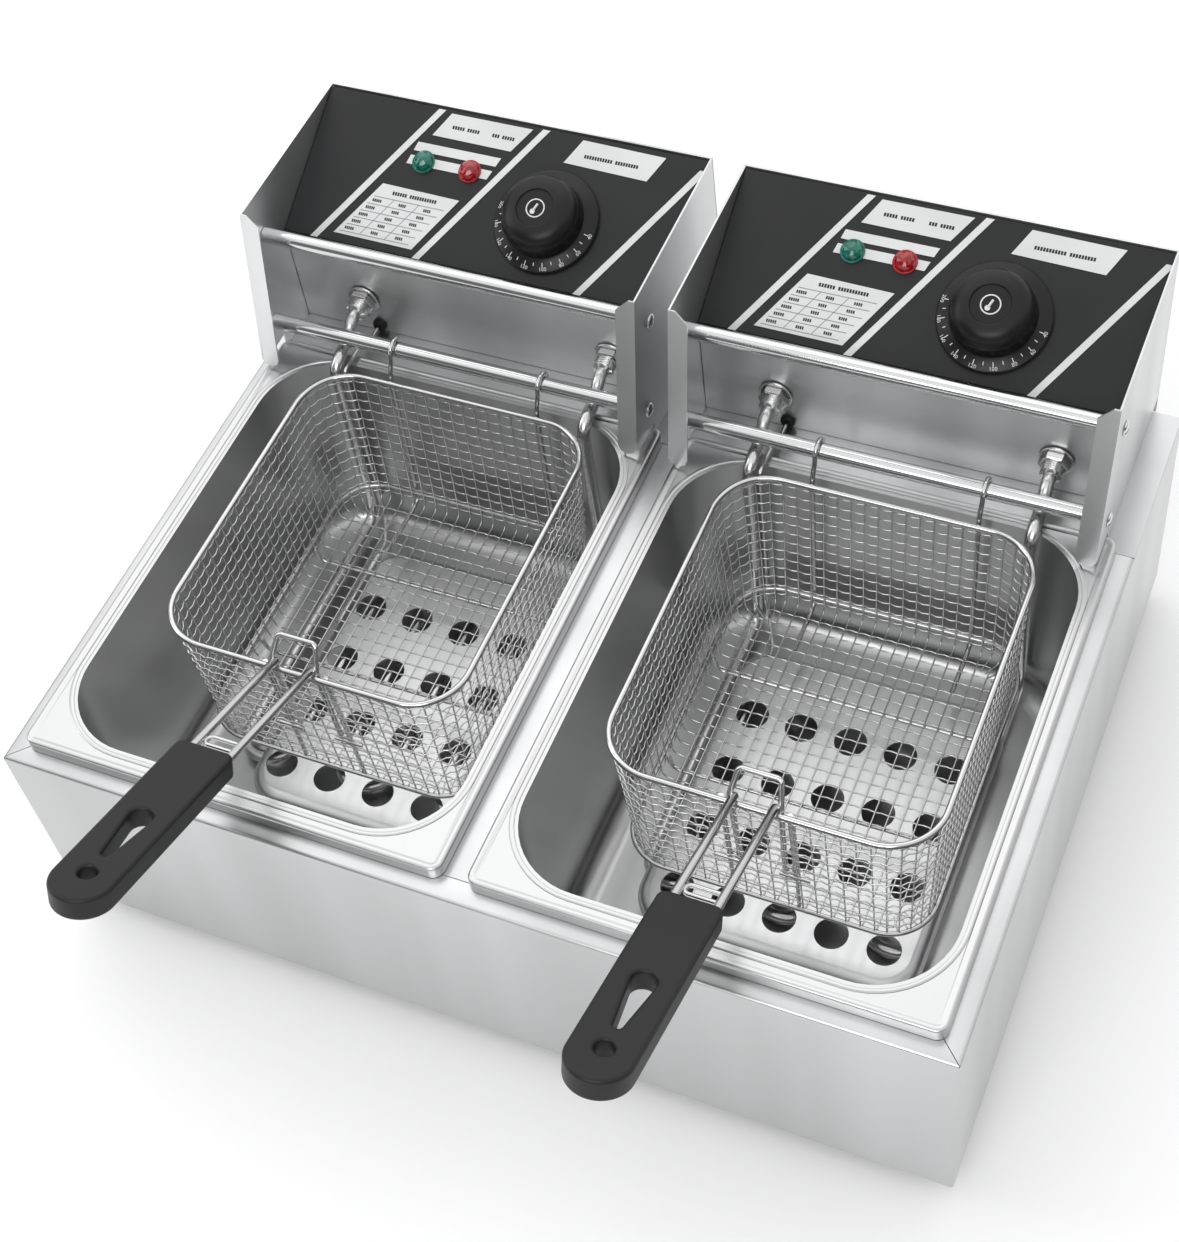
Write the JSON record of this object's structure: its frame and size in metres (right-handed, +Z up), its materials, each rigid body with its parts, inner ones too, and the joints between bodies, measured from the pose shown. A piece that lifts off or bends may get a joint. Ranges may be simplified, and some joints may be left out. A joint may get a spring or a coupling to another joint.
{
  "type": "deep fryer",
  "caption": "Twin-tank countertop electric deep fryer with lift-out oil tanks, hook-on wire baskets and lift-off control heads.",
  "frame": {"origin": "under the middle of the object's outline, on the surface its feet stand on", "axes": "+Z up, front with the basket handles towards -Y, +X to the right as seen from the front"},
  "size_m": [0.56, 0.5796, 0.2894],
  "materials": {
    "cabinet_steel": "satin, brushed along the width",
    "head_steel": "satin, brushed along the width",
    "tank_steel": "drawn, satin",
    "plate_steel": "satin",
    "element_steel": "dull polished tube",
    "fitting_steel": "turned",
    "rod_steel": "polished",
    "basket_wire": "bright plated wire",
    "panel_black": "satin printed film on sheet",
    "panel_print": "white print",
    "knob_plastic": "satin moulded",
    "grip_plastic": "fine matt moulded",
    "grey_plastic": "moulded",
    "lens_green": "glossy clear",
    "lens_red": "glossy clear",
    "rubber": "matt"
  },
  "bodies": {
    "cabinet": {"cabinet_body": "cabinet_steel", "cabinet_back": "cabinet_steel", "cabinet_base": "cabinet_steel", "cabinet_deck": "cabinet_steel", "centre_bar": "cabinet_steel", "foot_front_left": "rubber", "foot_front_right": "rubber", "foot_rear_left": "rubber", "foot_rear_right": "rubber"},
    "left_tank": {"left_tank": "tank_steel"},
    "left_head": {"left_head_shell": "head_steel", "left_head_left_cheek": "head_steel", "left_head_right_cheek": "head_steel", "left_head_back": "head_steel", "left_control_panel": "panel_black", "left_upper_rod": "rod_steel", "left_lower_rod": "rod_steel", "left_heating_element": "element_steel", "left_element_nut_left": "fitting_steel", "left_element_nut_right": "fitting_steel", "left_sensor_probe": "element_steel", "left_thermostat": "grey_plastic", "left_lamp_green": "lens_green", "left_lamp_red": "lens_red", "left_cord_gland": "rubber"},
    "left_strainer": {"left_strainer_plate": "plate_steel"},
    "left_basket": {"left_basket_mesh": "basket_wire", "left_basket_rim": "basket_wire", "left_basket_base_ring": "basket_wire", "left_basket_hooks": "basket_wire", "left_basket_bracket": "basket_wire", "left_handle_rods": "basket_wire", "left_handle_grip": "grip_plastic"},
    "left_knob": {"left_knob": "knob_plastic"},
    "right_tank": {"right_tank": "tank_steel"},
    "right_head": {"right_head_shell": "head_steel", "right_head_left_cheek": "head_steel", "right_head_right_cheek": "head_steel", "right_head_back": "head_steel", "right_control_panel": "panel_black", "right_upper_rod": "rod_steel", "right_lower_rod": "rod_steel", "right_heating_element": "element_steel", "right_element_nut_left": "fitting_steel", "right_element_nut_right": "fitting_steel", "right_sensor_probe": "element_steel", "right_thermostat": "grey_plastic", "right_lamp_green": "lens_green", "right_lamp_red": "lens_red", "right_cord_gland": "rubber"},
    "right_strainer": {"right_strainer_plate": "plate_steel"},
    "right_basket": {"right_basket_mesh": "basket_wire", "right_basket_rim": "basket_wire", "right_basket_base_ring": "basket_wire", "right_basket_hooks": "basket_wire", "right_basket_bracket": "basket_wire", "right_handle_rods": "basket_wire", "right_handle_grip": "grip_plastic"},
    "right_knob": {"right_knob": "knob_plastic"}
  },
  "joints": [
    {"name": "left_tank_lift", "type": "slide", "parent": "cabinet", "child": "left_tank", "axis": [0, 0, 1], "range_m": [0, 0.18]},
    {"name": "left_head_lift", "type": "slide", "parent": "left_tank", "child": "left_head", "axis": [0, 0, 1], "range_m": [0, 0.2]},
    {"name": "left_strainer_lift", "type": "slide", "parent": "left_head", "child": "left_strainer", "axis": [0, 0, 1], "range_m": [0, 0.16]},
    {"name": "left_basket_lift", "type": "slide", "parent": "left_strainer", "child": "left_basket", "axis": [0, 0, 1], "range_m": [0, 0.16]},
    {"name": "left_knob_turn", "type": "hinge", "parent": "left_head", "child": "left_knob", "pos_m": [-0.1029, 0.22219, 0.25913], "axis": [0, -0.4533, 0.8914], "range_deg": [-270, 0]},
    {"name": "right_tank_lift", "type": "slide", "parent": "cabinet", "child": "right_tank", "axis": [0, 0, 1], "range_m": [0, 0.18]},
    {"name": "right_head_lift", "type": "slide", "parent": "right_tank", "child": "right_head", "axis": [0, 0, 1], "range_m": [0, 0.2]},
    {"name": "right_strainer_lift", "type": "slide", "parent": "right_head", "child": "right_strainer", "axis": [0, 0, 1], "range_m": [0, 0.16]},
    {"name": "right_basket_lift", "type": "slide", "parent": "right_strainer", "child": "right_basket", "axis": [0, 0, 1], "range_m": [0, 0.16]},
    {"name": "right_knob_turn", "type": "hinge", "parent": "right_head", "child": "right_knob", "pos_m": [0.1741, 0.22219, 0.25913], "axis": [0, -0.4533, 0.8914], "range_deg": [-270, 0]}
  ]
}
